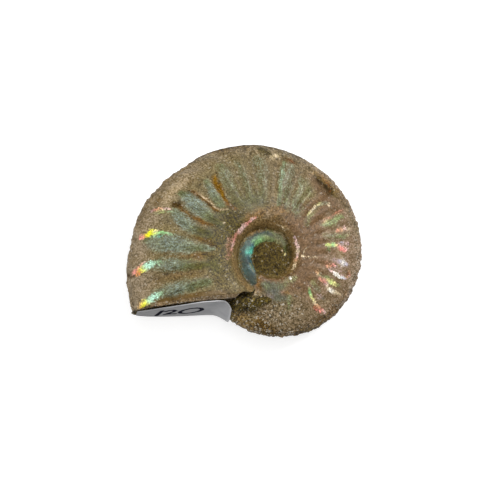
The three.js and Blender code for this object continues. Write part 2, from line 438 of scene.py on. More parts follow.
wear = {
    # how far the keel is worn or chipped back, in mm, at whorl angles
    "angles": [-116, 95, 108, 124, 132, 139, 148, 156, 166, 178, 186, 203],
    "depths": [0.0, 0.05, 0.33, 0.5, 0.95, 0.75, 0.6, 0.3, 0.4, 0.62, 0.25, 0.3],
    "smoothKeel": (60, 72, 126, 130),  # the keel is smooth between these angles and finely broken elsewhere
    "covered": (-170, -164, -123, -116),  # and even where the next whorl lies over it
    "teeth": 0.32,
    "mottle": 0.05,
    "faceRoughness": 0.2,
    "rockRoughness": 0.4,
}


def weather(points):
    # moves the surface along its normals: teeth on the keel, a rough broken face and rock, and a fine mottle
    back = np.interp(whorl, wear["angles"], wear["depths"]) * ramp(share, 0.8, 1)
    teeth = wear["teeth"] * (0.7 * grain(points, 0.7, 11) + 0.6 * grain(points, 0.33, 12))
    even = (1 - 0.85 * between(whorl, *wear["smoothKeel"])) * (1 - 0.9 * between(whorl, *wear["covered"]))
    mottle = wear["mottle"] * (grain(points, 0.9, 13) + 0.7 * grain(points, 0.45, 14))
    out = (teeth * ramp(share, 0.9, 0.985) * even - back + mottle) * (1 - facePart) * (1 - rock)
    rough = 0.6 * grain(points, 1.3, 15) + 0.5 * grain(points, 0.55, 16)
    out = out + wear["faceRoughness"] * (rough - 0.9) * facePart + wear["rockRoughness"] * rough * rock
    return points + gridNormals(points) * out[..., None]


def behindPaper(points):
    # the broken face is kept behind the paper that is stuck on it, as far as the whorl before
    along, _, out = toBreak(points)
    tooFar = np.clip(out - 0.06, 0, None) * (facePart > 0.5) * (1 - ramp(along, 6.8, 7.6))
    return points - tooFar[..., None] * breakFrame[2]


shell = behindPaper(weather(shell))

room = {
    "light": 1.15,  # how bright a white surface looks, and what the gloss adds to it
    "gloss": 0.032,
    "sky": 0.22,
    "table": 0.55,
    "tableGlow": 0.65,
}


def linear(*shade):
    # colour of a surface that looks like this screen colour, 0 to 255, once the room's light and gloss are on
    # it, and how matt it must be: dark and strong colours can't be reached under the whole gloss
    c = np.array(shade, float) / 255
    seen = np.where(c <= 0.04045, c / 12.92, ((c + 0.055) / 1.055) ** 2.4)
    gloss = min(room["gloss"], 0.8 * seen.min())
    return np.append(np.clip((seen - gloss) / room["light"], 0.002, 1), 1 - gloss / room["gloss"])


shades = {name: linear(*shade) for name, shade in {
    "oliveTan": (128, 115, 84), "mauveBrown": (127, 102, 77), "granular": (136, 120, 96),
    "rimTan": (152, 135, 110), "rimTop": (135, 120, 93), "rimRight": (160, 140, 118),
    "rimBrown": (128, 110, 84), "mauveTan": (146, 128, 104), "paleMauve": (158, 136, 114),
    "mauveTop": (130, 117, 89), "orangeTan": (146, 116, 78), "brownTan": (120, 107, 80),
    "paleTan": (182, 162, 130), "cream": (226, 206, 170), "wornGold": (148, 124, 82),
    "olive": (106, 94, 62), "wallTan": (146, 122, 86), "wallGold": (176, 140, 92), "moss": (104, 100, 66),
    "darkMoss": (94, 91, 58), "deepOlive": (98, 88, 54), "darkOlive": (76, 67, 34),
    "blueBrown": (92, 92, 68), "greyBlue": (108, 108, 96), "seaBlue": (84, 118, 128),
    "duskBlue": (66, 84, 88), "brown": (102, 80, 44), "orangeBrown": (122, 88, 44),
    "darkBrown": (72, 54, 26), "gold": (122, 88, 16), "redBrown": (112, 56, 26), "pitBlack": (40, 30, 14),
    "rustBrown": (130, 70, 30), "rockBrown": (88, 77, 48), "discOlive": (92, 80, 52),
    "bevelBrown": (150, 128, 98), "bandBrown": (126, 107, 80), "faceBrown": (88, 72, 44),
    "bandGrey": (130, 136, 114), "bandBlue": (128, 137, 122), "bandGreen": (118, 123, 92),
    "sageTan": (142, 142, 104), "leafGrey": (124, 134, 94), "leafBand": (148, 160, 110),
    "tealBand": (118, 128, 104), "tealLine": (150, 164, 138), "salmonGrey": (158, 122, 100),
    "paleGreen": (160, 190, 150), "iceGreen": (176, 212, 180), "paleTeal": (160, 190, 170),
    "teal": (104, 176, 156), "brightTeal": (112, 214, 190), "deepBlue": (62, 74, 64),
    "steelBlue": (76, 98, 90), "leaf": (154, 204, 138), "yellowGreen": (204, 210, 112),
    "limeWhite": (220, 240, 150), "yellow": (250, 248, 60), "paleYellow": (232, 222, 150),
    "orange": (240, 166, 84), "redOrange": (230, 122, 88), "paleOrange": (236, 184, 140),
    "pink": (244, 160, 146), "hotPink": (236, 148, 136), "pinkWhite": (240, 204, 194),
    "salmon": (208, 144, 120), "mauve": (176, 150, 150), "lavender": (206, 200, 214),
    "ice": (202, 250, 222), "blueWhite": (226, 228, 234), "white": (246, 240, 228),
}.items()}


def toSegment(x, y, x0, y0, x1, y1):
    # how far along a straight line the nearest point on it is, from 0 to 1, and how far away
    dx, dy = x1 - x0, y1 - y0
    t = np.clip(((x - x0) * dx + (y - y0) * dy) / max(dx * dx + dy * dy, 1e-6), 0, 1)
    return t, np.hypot(x - x0 - t * dx, y - y0 - t * dy)


def placeOf(at, whorlShare):
    # plan position of a whorl angle and a share of the keel's radius, both as they are seen from above, where
    # the flank's height draws them outwards and the lean turns them a little
    turned = math.radians(at + 0.75 * math.sin(math.radians(at)) / max(whorlShare, 0.4))
    inwards = 0.022 * between(whorlShare, 0.2, 0.6, 0.95, 1)
    out = keel(np.float64(at)) * (whorlShare - inwards)
    return out * math.cos(turned), out * math.sin(turned)


def streak(line, x, y, crisp):
    # nearness from 0 to 1 to a line of (angle, share, half width, shade) points, which falls off as a bell
    # curve, and the shade there
    near, shade = np.zeros_like(x), np.zeros(x.shape + (4,))
    for (a0, s0, w0, c0), (a1, s1, w1, c1) in zip(line, line[1:]):
        t, away = toSegment(x, y, *placeOf(a0, s0), *placeOf(a1, s1))
        here = np.exp(-0.7 * (away / mix(w0, w1, t)) ** crisp)
        shade = np.where((here > near)[..., None], mix(shades[c0], shades[c1], t[..., None]), shade)
        near = np.maximum(here, near)
    return near, shade


def readLines(texts):
    # each text as its strength, its crispness and its points; a shade holds until another one is named
    for text in texts:
        head, path = text.split(":")
        points, shade = [], None
        for point in path.split(","):
            *named, at, out, half = point.split()
            shade = named[0] if named else shade
            points.append((float(at), float(out), float(half), shade))
        yield *map(float, head.split()), points


# Painted markings. Each text is a line's strength and crispness, then the shade, whorl angle, share of the
# keel's radius and half width in mm of points along its middle. Broad zones come first, then what is on the
# shell, then its mother-of-pearl, and last the glints: mostly painted highlights and iridescent reflections.
zones = [
    # the olive shoulder with its darker speckled parts, and brown along the keel
    ".9 2: olive 206 .4 2, 190 .39 2.6, deepOlive 172 .385 2.8, 155 .38 2.4, olive 138 .36 1.8, 122 .37 1",
    ".9 2: moss 128 .5 1, darkMoss 116 .48 1.5, 104 .48 1.5, moss 94 .45 .9",
    ".25 2: brownTan 160 .94 .5, 152 .95 .6, 144 .94 .6",
    ".6 2: olive 138 .57 .8, 133 .5 1",
    ".6 2: olive 186 .5 1.2, 172 .5 1, 160 .48 .8",
    ".8 2: brown -117 .92 1, -109 .95 1, -102 .97 .7",
    # a thin painted shade along the very edge of the keel on the upper left, where it turns away
    ".35 2: brown 166 .995 .5, 155 .99 .7, 140 .99 .7, 124 .995 .5",
    ".5 2: brown 118 .99 .5, 110 .98 .9, 100 .98 .7",
    ".85 2: orangeTan 124 .345 .6, 108 .36 .9, 94 .375 1, 80 .41 .9, 70 .44 .6",
    ".85 2: deepOlive 176 .475 1.5, 170 .5 1.3, 167 .46 1.5, 163 .4 1",
    ".8 2: deepOlive 158 .44 1.2, darkOlive 150 .42 1.8, 140 .42 2.2, 133 .43 1.6, deepOlive 127 .45 .9",
    ".6 2: mauveTan 193.5 .9 1.2, brownTan 194 .75 1.6, 195 .6 1.6, oliveTan 199 .48 1.4",
    ".7 2: oliveTan 180 .8 1.4, brownTan 181 .65 1.5, orangeTan 183 .52 1.3, brownTan 186 .44 1",
    # the pale swirl above the left, the mauve top, the low end and the right side
    ".5 2: rimTop 160 .95 .9, 148 .97 1, 136 .96 1.2, 124 .96 1",
    ".4 2: paleTan 154 .89 .9, 148 .9 1.1, 142 .88 1.1, 136 .88 .8",
    ".5 2: brown 137 .845 .4, brownTan 133 .86 .4, 129 .9 .4",
    ".6 2: mauveTop 114 .8 1, 103 .7 1.2, 88 .75 1.4, 88 .5 1.6",
    ".7 2: mauveTop 74 .9 1.5, 69 .6 1.4, 68 .85 1.4",
    ".7 2: granular -100 .8 2.2, -82 .78 3, -62 .76 2.4",
    ".8 2: wornGold -114 .93 1.4, -104 .95 1.2, rimBrown -96 .97 .9",
    ".75 2: wornGold -106 .62 .8, -112 .6 .7, -114 .72 .7",
    ".65 2: brown -32 1 .7, -44 1 1, deepOlive -56 1 .9, brown -70 1 .5",
    ".8 2: mauveTan 33 .74 1, 22 .75 1.8, paleMauve 8 .77 2.8, -8 .77 3, mauveTan -24 .77 2.4, -40 .8 1.8, "
        "-54 .85 1.2",
    ".6 2: brown 44 .95 .8, 38 .95 .9, olive 30 .96 .6, 22 .96 .9, 14 .97 .7",
    ".4 2: olive -88 .66 .9, -76 .64 1.2, -64 .62 .9",
    # small soft patches that correct the tone where the broad zones are off
    ".8 2: paleTan 206.5 .94 .9, mauveTan 200 .96 .8",
    ".7 2: paleMauve 26 .63 .8, 15 .64 .9, 12 .74 .8",
    ".8 2: paleMauve -24 .72 .9, -32 .74 .9",
    ".8 2: mauveTan 94 .35 .6, 88 .35 .6",
    ".5 2: orangeTan 142 .306 .4, 136 .306 .4",
    ".4 2: mauveTan 65 .29 .4, 59 .29 .4",
    ".7 2: paleTan 149 .91 .7, 143 .91 .7",
    ".45 2: bandGrey 160 .8 .5, 158 .79 .5",
    ".5 2: orangeTan 230 .343 .3, 235 .34 .3",
    ".9 2: paleTan 203.5 .95 .8, 201 .95 .8",
    ".7 2: brownTan 178 .55 .8, olive 178 .48 .8, 179 .43 .7",
    ".5 2: darkMoss 121 .489 .6, 117 .489 .6",
    ".7 2: brown 157 .934 .5, 153 .934 .5",
    ".9 2: brownTan -106 .84 .8, brown -100 .87 .9, -92 .95 .8, -86 .975 .7",
    ".6 2: paleTan 3 .75 .7, -9 .77 .8",
    ".8 2: darkMoss 197 .42 .9, 190 .44 1, deepOlive 182 .5 .6",
    ".8 2: darkMoss 146 .535 .7, 140 .51 .7",
    ".6 2: sageTan 63 .78 .8, 57 .72 1.2",
]

stains = [
    # rock that creeps up over the last flank at its corner
    ".45 3: rockBrown 225.4 .41 .3, 227.5 .37 .55, 230.9 .325 .65, 236 .3 .55, 242 .285 .4",
    # brown grooves between the ribs
    ".95 3: darkBrown 152.7 .83 .55, 152.5 .79 .45, orangeBrown 154.1 .74 .4, brown 155.1 .68 .45, "
        "orangeBrown 155.9 .63 .6, 156.5 .58 .6, brown 156 .52 .45, darkBrown 155 .48 .4",
    ".95 3: darkBrown 142.8 .81 .45, orangeBrown 141.7 .77 .6, darkBrown 141.4 .73 .5, "
        "orangeBrown 141.8 .68 .45, darkBrown 142.3 .63 .4, orangeBrown 142.7 .58 .4, brown 141.3 .53 .35",
    ".7 3: brown 139.6 .72 .2, orangeBrown 139.8 .66 .3, brown 140.1 .6 .3",
    "1 3: gold 125.4 .775 .55, 126.9 .72 .7, 128.3 .667 .6, 130.3 .61 .55, orangeBrown 131.4 .55 .4, "
        "brown 130.5 .5 .35, orangeBrown 128.8 .468 .3",
    ".8 2: brown 162 .77 .25, 163.8 .73 .3, orangeBrown 166 .64 .4, 168.4 .57 .5, brown 171 .49 .5, "
        "darkBrown 174 .43 .4",
    ".45 2: brownTan 181 .82 .5, orangeBrown 182 .66 .6, brown 183 .5 .6, darkOlive 184 .44 .6",
    ".4 2: brown 193 .84 .5, orangeBrown 193.6 .7 .6, brown 195 .52 .8",
    # fine pale veins beside them
    ".7 3: paleTan 139.7 .77 .15, cream 140 .667 .16, paleTan 140.9 .57 .2, 139.3 .535 .22, 134.2 .5 .18",
    ".75 3: cream 149.6 .452 .22, 147.8 .446 .22",
    # chips, a crack and dirt along the keel
    ".85 2: darkOlive 94.6 .96 .5, 92 .945 .8, 88.8 .935 .5",
    ".9 2: cream 86.7 .905 .35, 84.9 .932 .4, 83.2 .925 .35",
    ".6 2: paleTan 95.6 .952 .18, 95.2 .912 .18, 94.5 .874 .16",
    ".8 2: brown 78.3 .915 .5, redBrown 76 .917 .5, brown 73.5 .914 .4",
    ".98 3: darkBrown 57.5 .91 .5, 53.5 .905 1.3, 49.5 .9 1.5, 45.3 .905 1.1",
    ".97 3: pitBlack 56.5 .905 .6, 54.5 .895 .6",
    ".95 3: orangeBrown 53.5 .93 .4, rustBrown 50.5 .93 .5, 48.5 .915 .4",
    ".97 3: pitBlack 50.5 .885 .4, 48 .88 .45, redBrown 46.6 .89 .3",
    ".7 3: wornGold 60 .945 .5, orangeTan 55 .955 .45, wornGold 47.5 .95 .45, 41 .94 .6",
    ".6 2: darkOlive 64 .93 .5, wornGold 60 .925 .35, darkOlive 42 .91 .5, brown 38 .93 .5",
    ".9 3: darkBrown 189.6 .93 .1, 188.7 .975 .2, 188.1 1.01 .3",
    # a thin dark line along the smooth top keel: partly dirt, partly painted shade where the keel turns away
    ".85 3: darkBrown 127 .995 .2, 115 .995 .22, 98 .995 .25, 84 .995 .22, 68 .995 .2",
    ".75 3: darkBrown -12.6 .9 .3, redBrown -12.2 .885 .3",
    ".5 2: orangeBrown -24 .94 .6, brown -32 .95 .6, orangeBrown -40 .96 .6, brown -54 .965 .6",
    # round the umbilicus
    ".85 2: wallTan 160 .265 .4, wallGold 140 .262 .7, 120 .262 .8, 100 .265 .7, 80 .27 .5, "
        "wallTan 64 .28 .4",
    ".5 2: gold 110 .275 .35, orangeBrown 103 .28 .3",
    # a dark ring at the foot of the wall on its right: the dark seam, and painted shade on the wall facing away
    # from the light
    ".8 2: darkOlive 66 .25 .5, darkBrown 38 .245 .6, darkOlive 15 .245 .6, -12 .25 .6, "
        "deepOlive -38 .27 .6",
    ".8 2: gold -116 .38 .5, orangeBrown -112 .43 .6, gold -109 .47 .5, orangeBrown -105 .51 .4",
    ".8 2: brown -103 .52 .3, darkBrown -99 .555 .25",
]

crusts = [
    # old shell along the rock's right side, with pale grains
    ".75 2: leafGrey 92 .2 .35, 82 .203 .5, bandGreen 62 .212 .5, 40 .192 .4, leafGrey 16 .176 .3, "
        "paleTan 8 .165 .15",
    ".8 2: cream 27 .135 .14, 24 .132 .14",
    ".8 2: paleYellow 6 .165 .16, 4 .16 .16",
    ".6 2: paleTan 75 .232 .16, 60 .236 .14, 48 .222 .12",
    # pale grains along the upper edge of the rock in the corner
    ".5 2: cream -128 .54 .12, paleTan -124 .525 .13, cream -120 .52 .12",
    ".35 2: paleTan -116 .515 .12, wallTan -112 .52 .13, cream -108 .525 .13, wallTan -104 .53 .15, "
        "cream -100 .54 .15",
    ".8 2: paleGreen -116 .56 .2, cream -114 .565 .2",
    ".8 2: cream -111 .575 .18, paleTan -109 .58 .22",
    ".7 2: paleTan -113 .62 .16, cream -110 .61 .16",
    ".7 2: cream -106 .56 .18, paleTan -104 .565 .18",
]

pearls = [
    # bands along the ribs of the last half whorl
    ".85 3: bandGreen 173.4 .91 1, bandGrey 174.6 .85 1.6, bandBlue 175.2 .77 1.9, 175.6 .7 1.75, "
        "bandGrey 176.6 .62 1.4, bandGreen 176.8 .54 .75, bandGrey 176.5 .47 .5, bandGreen 176 .43 .3",
    ".75 3: bandGreen 186.2 .88 .8, bandGrey 186.2 .82 1.1, bandBlue 187.3 .72 1.4, "
        "bandGreen 188.9 .64 1.3, moss 190.2 .56 1, darkMoss 191 .48 .8",
    ".75 3: bandGreen 200.6 .9 .8, bandGrey 200 .83 1.1, bandBlue 201 .72 1.4, bandGreen 203 .6 1.2, "
        "205 .5 .9",
    ".85 3: bandGrey 156.4 .8 .7, bandBlue 159 .75 1.25, 161.6 .69 1.4, bandGrey 163.6 .64 1.2, "
        "moss 165.4 .58 1, darkMoss 164 .5 .9",
    ".85 3: bandGreen 146 .835 .8, bandBlue 146.4 .785 1.2, 147.3 .73 1.45, 148.4 .66 1.5, "
        "bandGreen 149.6 .59 1.15, darkMoss 151 .52 .8, 152.5 .46 .8",
    ".75 3: bandGreen 131.6 .78 .6, bandGrey 132.3 .74 .85, bandBlue 133.7 .69 .95, "
        "bandGreen 135.1 .63 .95, 136.1 .565 .75",
    ".5 2.5: bandGreen 119 .84 1, bandGrey 119.4 .77 1.6, bandGreen 121 .66 1.5, moss 123.2 .52 1.2",
    # and over the top of the coil
    ".45 2: bandGrey 109 .84 .6, tealBand 108.6 .7 .8, bandGreen 109.2 .56 .8, moss 111.5 .45 1.2, "
        "115 .4 .8",
    ".45 2: bandGrey 95.5 .85 1.3, 95.3 .68 1.4, bandGreen 97 .55 1, moss 100 .45 .8",
    ".75 2.5: bandGreen 80 .87 .4, tealLine 80.4 .79 .5, 80.8 .68 .55, leafGrey 81 .58 .55, "
        "bandGreen 81 .47 .55",
    ".5 2: bandGrey 75.5 .86 .9, 75 .7 1.1, bandGreen 73.5 .55 1, 71 .47 .8",
    ".4 2: bandGrey 66.5 .8 .4, tealLine 65 .72 .5, bandGreen 64 .6 .7, bandGrey 63 .5 .8",
    ".45 2: sageTan 58.5 .74 .6, 59 .66 1.2, bandGreen 58 .56 1.4, 56 .48 1.1",
    # ribs of the older, right half
    ".5 2: bandGrey 42 .78 .5, sageTan 44.5 .7 .6, 45 .62 .6, 44 .55 .6, 40 .47 .6",
    ".7 2.5: sageTan 30.8 .6 .5, leafBand 29.4 .66 .85, 28.3 .73 .95, 28.4 .8 .7, 28.2 .86 .5",
    ".5 2: salmonGrey 33 .6 .3, salmon 32.4 .7 .3, 32 .8 .25, 31.6 .89 .3",
    ".45 2: bandGrey 15.5 .86 .7, bandGreen 14.8 .77 .8, 17 .66 .9, sageTan 20 .6 .6",
    ".5 2: salmonGrey -7 .6 .5, -8.5 .68 .7",
    ".4 2: mauve -11.5 .72 .9, -11.5 .8 .9",
    ".5 2: sageTan -33 .58 .8, bandGrey -36 .68 .6",
    # the blue-grey patch below the umbilicus
    ".7 2: blueBrown -104 .43 .7, -94 .47 1.5, greyBlue -84 .49 1.5, blueBrown -74 .49 1.1",
    ".6 2: bandGreen -101 .38 .3, leafGrey -97 .41 .5, bandGreen -92 .44 .5",
    ".75 2: greyBlue -88 .47 .6, -81.8 .475 .8, -77 .49 .6",
    ".55 2: blueBrown -97 .37 .5, -86 .39 .7, bandGreen -72 .4 .8, sageTan -58 .38 .8, -44 .38 .6",
    ".6 2: greyBlue -92 .57 .6, blueBrown -84 .56 .6, greyBlue -73 .58 .6",
    ".5 2: leafGrey -66 .58 .5, -68 .64 .5, bandGreen -71 .7 .5",
    ".25 2: salmonGrey -96 .56 .5, mauve -88 .54 .5",
    ".6 2: salmonGrey -71 .49 .45, orangeTan -66 .5 .4",
]

glints = [
    # painted iridescent glints and highlights where the three lowest ribs meet the keel on the left
    ".9 2: pink 172.8 .96 .3, 172.2 .945 .45, orange 171.6 .928 .35",
    "1 2: yellow 171.3 .918 .45, 170.5 .9 .6, 170 .88 .5",
    ".8 2: pinkWhite 169.4 .873 .2, paleOrange 168.9 .85 .2",
    ".85 2: limeWhite 170.2 .862 .45, leaf 169.8 .84 .4, 169.5 .81 .32, paleGreen 169.7 .78 .3, "
        "170.2 .745 .25",
    ".6 2: teal 172.3 .885 .25, iceGreen 171.8 .86 .35, teal 171.5 .83 .3",
    ".8 2: mauve 160.2 .955 .25, salmon 159 .93 .25, paleOrange 157.5 .9 .28, pinkWhite 156.9 .868 .22, "
        "156.3 .835 .2",
    ".5 2: sageTan 160.5 .915 .4, limeWhite 159.6 .885 .4, sageTan 158.6 .852 .4, paleGreen 157.6 .82 .3",
    ".85 2: pinkWhite 183 .89 .15, salmon 184.4 .915 .18, pink 186 .942 .28, 187.7 .968 .45",
    "1 2: orange 188.2 .945 .4, yellow 187.8 .93 .5, 187 .915 .45",
    ".9 2: orange 189.2 .955 .25, redOrange 189 .94 .25",
    "1 2: iceGreen 186.7 .905 .5, ice 186 .888 .65, 185.4 .865 .5",
    ".75 2: iceGreen 185.2 .848 .45, paleGreen 185.1 .825 .4, 186 .8 .35",
    ".8 2: orange 202.6 .965 .35, paleOrange 201.6 .965 .4, salmon 200.6 .95 .3",
    "1 2: yellow 202.6 .95 .5, 201.9 .935 .65, limeWhite 201.4 .915 .5",
    ".8 2: leaf 200.9 .925 .3, iceGreen 200.4 .905 .4, 199.8 .885 .35",
    ".95 2: ice 201.8 .905 .4, 201.1 .885 .45, 200.6 .865 .5, iceGreen 200.7 .845 .4, "
        "paleGreen 200.2 .82 .3",
    # a painted highlight along the rounded shoulder of the umbilicus, on both sides
    ".35 2: salmonGrey 186 .31 .5, 168 .303 .6, 141 .308 .6, 118 .322 .6",
    ".85 2: salmon 178 .305 .14, pinkWhite 169 .301 .22, pink 160 .305 .2, salmon 153 .31 .16, "
        "pinkWhite 145 .308 .36, 136 .308 .42, pink 127 .314 .22, pinkWhite 119 .322 .22, "
        "salmon 112 .335 .16",
    ".5 2: orangeTan 106 .328 .4, paleTan 98 .32 .3, orangeTan 86 .325 .35, 80 .36 .5, 76 .42 .4",
    ".8 2: mauve 38 .287 .16, pinkWhite 28 .287 .22, 17 .284 .28, cream 9 .281 .3, pinkWhite -1 .277 .26, "
        "paleOrange -10 .273 .24, cream -20 .277 .24, paleTan -32 .29 .2",
    ".5 2: salmonGrey 188 .33 .5, 174 .335 .6, 160 .34 .5",
    # painted highlights and iridescent reflections on the ribs of the right edge
    ".85 3: sageTan 45.6 .52 .12, paleYellow 46.4 .55 .2, cream 46.8 .6 .24, 46.3 .65 .24, "
        "paleYellow 45.2 .71 .2, sageTan 44 .75 .14",
    ".75 2: cream 41.2 .785 .25, 39.8 .775 .3",
    ".75 2: salmon 19.4 .75 .35, paleOrange 20 .79 .5, pinkWhite 20.2 .83 .4, cream 19 .88 .3",
    ".45 2: leafBand 17 .7 .5, 15.5 .78 .5, paleTan 15.3 .87 .4",
    ".85 2: limeWhite 9.7 .6 .3, yellowGreen 9.6 .635 .45, leaf 9.3 .67 .5, paleYellow 8.5 .7 .35",
    ".6 2: leafGrey 6.5 .61 .45, bandGreen 4.5 .62 .4",
    ".9 2: pink 7 .735 .4, hotPink 5.4 .755 .55, pink 4.4 .79 .5, pinkWhite 5.5 .825 .4",
    ".75 2: lavender 10 .765 .35, pinkWhite 10 .81 .35, mauve 9 .845 .3",
    ".45 2: mauve -4 .7 .7, -5 .79 .9, mauveTan -6 .86 .6",
    ".8 2: lavender -4.6 .75 .3, white -5 .79 .6, lavender -6 .83 .4",
    ".6 2: salmon -10.5 .61 .3, paleOrange -10.2 .65 .4, pink -9.3 .69 .4, pinkWhite -10.5 .72 .3",
    ".9 3: mauve -13 .65 .14, pinkWhite -14.4 .69 .24, white -15.5 .735 .4, -16.4 .79 .42, "
        "blueWhite -16.6 .84 .3, mauve -16 .875 .2",
    ".6 2: paleOrange -10.8 .89 .3, salmon -12.5 .91 .3, pinkWhite -14 .9 .3, orange -14.3 .88 .2",
    ".65 2: paleOrange -20 .54 .4, sageTan -21.4 .58 .5, leafGrey -21.6 .63 .5, -21 .68 .4",
    ".7 2: salmon -24.6 .6 .3, -25.4 .64 .4, pink -25.8 .68 .45, pinkWhite -26 .71 .3",
    ".9 2: paleYellow -23 .7 .35, limeWhite -23.4 .735 .5, paleYellow -23.3 .78 .45, sageTan -22.6 .83 .3",
    ".9 3: mauve -27.6 .68 .13, cream -28.8 .73 .28, white -29.3 .78 .42, cream -28.9 .84 .42, "
        "paleTan -27.8 .9 .3",
    ".45 2: mauve -39.5 .72 .4, greyBlue -38.4 .79 .6, paleTan -37 .86 .4",
    ".9 3: salmonGrey -39.5 .55 .2, leafBand -41.8 .59 .32, leaf -43.3 .63 .36, paleYellow -44.9 .7 .3, "
        "cream -46.1 .76 .28, paleOrange -46.3 .81 .32, salmon -45.9 .86 .38, pinkWhite -45.2 .91 .34",
    ".6 2: redOrange -48.8 .79 .25, hotPink -48.2 .84 .35, pink -47.4 .885 .25",
    # scratches and a bright dot
    ".6 2: cream -3 .33 .2, -3.2 .38 .2, paleTan -3.4 .44 .2, -3.4 .5 .16",
    ".55 2: paleTan 11 .365 .16, cream 8.5 .346 .2, 2 .34 .18, -3 .33 .2",
    ".6 2: paleTan 78 .275 .14, cream 69 .285 .16, 59 .265 .16, paleTan 53.5 .295 .16",
    "1 2: white -49.8 .358 .2, -49.2 .35 .2",
    # the whorl before, round the rock
    ".9 3: darkOlive -290 .37 .5, deepBlue -268 .4 .7, -240 .4 .8, steelBlue -205 .395 .9, -185 .39 1, "
        "deepBlue -163 .385 1.1, steelBlue -147 .4 1.1, deepBlue -134 .42 1, -122 .45 .6",
    ".6 2: darkOlive -318 .36 .5, sageTan -300 .35 .6, leafGrey -284 .35 .5",
    ".95 3: leafGrey -284 .33 .35, leafBand -262 .33 .6, leaf -240 .335 .7, -222 .335 .6",
    ".5 2: leafGrey -262 .375 .3, greyBlue -246 .375 .35, steelBlue -230 .37 .3",
    ".9 2: steelBlue -222 .35 .25, seaBlue -210 .335 .4, teal -201 .325 .5, brightTeal -194 .312 .5, "
        "-186 .305 .5, paleTeal -178 .3 .35",
    ".6 2: teal -197 .36 .35, brightTeal -186 .365 .35, steelBlue -176 .355 .3",
    ".6 2: seaBlue -176 .33 .35, duskBlue -162 .335 .4, seaBlue -149 .35 .35, duskBlue -132 .37 .35, "
        "blueBrown -119 .41 .35",
    ".6 2: seaBlue -164 .295 .2, -146 .3 .2, -136 .315 .2",
    ".55 2: sageTan -156 .325 .22, leafGrey -146 .325 .3, sageTan -137 .34 .22",
]


def withPoles(values):
    # a value for every grid point, and for the two poles the mean of the row beside them
    ends = np.stack([values[:, 0].mean(0), values[:, -1].mean(0)])
    return np.concatenate([values.reshape((-1,) + values.shape[2:]), ends])


def buildFossil():
    # quads round the grid, and a fan at each pole; the poles come after the grid's points
    columns, rows = shell.shape[:2]
    c = np.arange(columns) * rows
    n = np.roll(c, -1)
    pole = 0 * c + columns * rows
    first = np.stack([pole, c, n], -1)
    last = np.stack([pole + 1, n + rows - 1, c + rows - 1], -1)
    faces = gridQuads(columns, rows, "columns").tolist() + first.tolist() + last.tolist()
    return meshObject("fossil", toWorld(withPoles(shell)), faces)


def setAttribute(piece, name, kind, values):
    # values for every point of the piece's mesh
    attribute = piece.data.attributes.new(name, kind, "POINT")
    key = {"FLOAT": "value", "FLOAT_COLOR": "color", "FLOAT_VECTOR": "vector"}[kind]
    attribute.data.foreach_set(key, np.ascontiguousarray(values, np.float32).ravel())


def drawn(texts, ragged):
    # how much of each line in turn is there, and its shade. Plan positions are moved about by a few tenths of a
    # millimetre, so that markings get uneven edges.
    flat = shell * np.array([1, 1, 0])
    x = radius * np.cos(theta) + ragged * (grain(flat, 1.3, 21) + 0.6 * grain(flat, 0.5, 22))
    y = radius * np.sin(theta) + ragged * (grain(flat, 1.3, 23) + 0.6 * grain(flat, 0.5, 24))
    for strength, crisp, line in readLines(texts):
        near, shade = streak(line, x, y, crisp)
        yield near * strength, shade


def tinted(colour, name, part):
    # lays one of the shades over a colour
    return mix(colour, shades[name], part[..., None])


def laid(colour, texts, ragged):
    # opaque lines over a colour, on the upper side
    for near, shade in drawn(texts, ragged):
        colour = mix(colour, shade, (near * onTop)[..., None])
    return colour


# distances from the broken edge, and the smooth worn band along it
alongBreak, _, beforeBreak = toBreak(shell)
breakBand = ramp(-beforeBreak, 1.75, 1.45) * between(alongBreak, -6.0, -4.6, 7.5, 10.5)
breakBand = breakBand * ramp(whorl, 190, 196) * (height > 0)


def groundShade():
    # the shell's own colours: old shell to new and flank to keel, then zones, stains, rock and broken faces
    old = 1 - ramp(whorl, 50, 110)
    low = 1 - ramp(whorl, -75, -35)
    flank = tinted(shades["oliveTan"], "mauveBrown", old)
    flank = tinted(flank, "granular", low * ramp(share, 0.42, 0.62))
    rim = tinted(tinted(shades["rimTan"], "rimRight", old), "rimTop", between(whorl, 40, 80, 115, 140))
    rim = tinted(rim, "rimBrown", low)
    colour = mix(flank, rim, ramp(share, 0.78, 0.94)[..., None])
    colour = tinted(colour, "deepOlive", 1 - ramp(whorl, -122, -116))
    colour = laid(laid(colour, zones, 0.35), stains, 0.32)

    wall = tinted(shades["olive"], "wallTan", ramp(whorl, -75, -20))
    colour = mix(colour, wall, (0.8 * ramp(share, 0.31, 0.28) * (1 - rock))[..., None])
    # darker at the very foot of the umbilical wall: the dark seam, and painted shade in the crease
    colour = tinted(colour, "darkOlive", 0.7 * ramp(share, 0.25, 0.232) * (1 - rock))
    edge = ramp(-beforeBreak, 1.75, 1.55) * between(alongBreak, -6.5, -5, 1, 6) * ramp(whorl, 190, 196) * onTop
    colour = tinted(colour, "bandBrown", 0.85 * breakBand)
    colour = tinted(colour, "brown", 0.75 * edge)
    colour = tinted(colour, "bevelBrown", bevelPart)
    bare = facePart * ramp(angle, 203, 205.5)[:, None]
    colour = tinted(colour, "faceBrown", bare)
    colour = tinted(colour, "rimTan", bare * (1 - ramp(alongBreak, -10, -8.5)))
    stone = tinted(shades["rockBrown"], "discOlive", ramp(radius, 6.6, 5.8))
    return laid(mix(colour, stone, rock[..., None]), crusts, 0.12)


